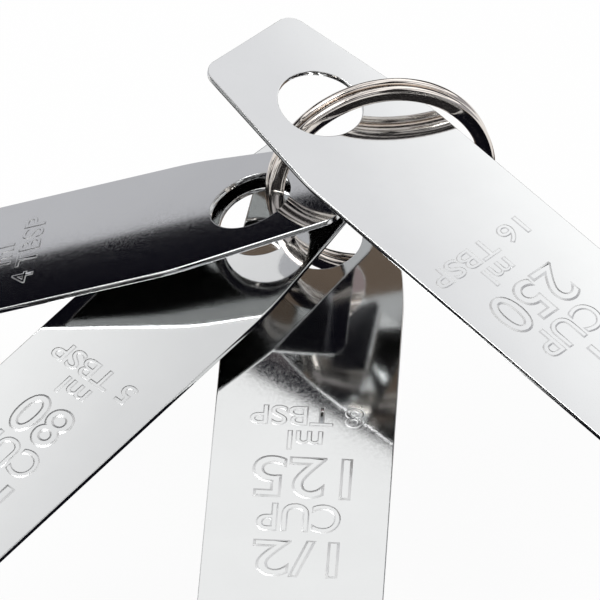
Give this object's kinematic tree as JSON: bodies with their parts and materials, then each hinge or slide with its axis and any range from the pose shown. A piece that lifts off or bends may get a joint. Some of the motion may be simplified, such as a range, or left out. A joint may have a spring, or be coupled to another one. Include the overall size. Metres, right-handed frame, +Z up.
{
  "type": "measuring cup set",
  "caption": "Stainless steel measuring cups with round bowls and flat strip handles, held together at the handle ends by a split ring.",
  "frame": {"origin": "centre of the underside of the largest bowl, where it stands on the table", "axes": "+Z up, -Y towards the viewer of the picture, +X to the viewer's right"},
  "size_m": [0.2728, 0.1934, 0.0708],
  "materials": {
    "cup_steel": "polished stainless steel",
    "ring_metal": "nickel-plated spring steel"
  },
  "bodies": {
    "ring": {"split_ring": "ring_metal"},
    "cup_250": {"bowl_250": "cup_steel", "handle_250": "cup_steel"},
    "cup_125": {"bowl_125": "cup_steel", "handle_125": "cup_steel"},
    "cup_80": {"bowl_80": "cup_steel", "handle_80": "cup_steel"},
    "cup_60": {"bowl_60": "cup_steel", "handle_60": "cup_steel"}
  },
  "joints": [
    {"name": "swing_250", "type": "hinge", "parent": "ring", "child": "cup_250", "pos_m": [-0.08798, 0.08014, 0.06723], "axis": [0, 0, 1], "range_deg": [-6, 4]},
    {"name": "swing_125", "type": "hinge", "parent": "ring", "child": "cup_125", "pos_m": [-0.08982, 0.07971, 0.04755], "axis": [0, 0, 1], "range_deg": [-3, 5]},
    {"name": "swing_80", "type": "hinge", "parent": "ring", "child": "cup_80", "pos_m": [-0.092, 0.07921, 0.05068], "axis": [0, 0, 1], "range_deg": [-7, 4]},
    {"name": "swing_60", "type": "hinge", "parent": "ring", "child": "cup_60", "pos_m": [-0.09326, 0.07892, 0.05477], "axis": [0, 0, 1], "range_deg": [-4, 7]}
  ]
}
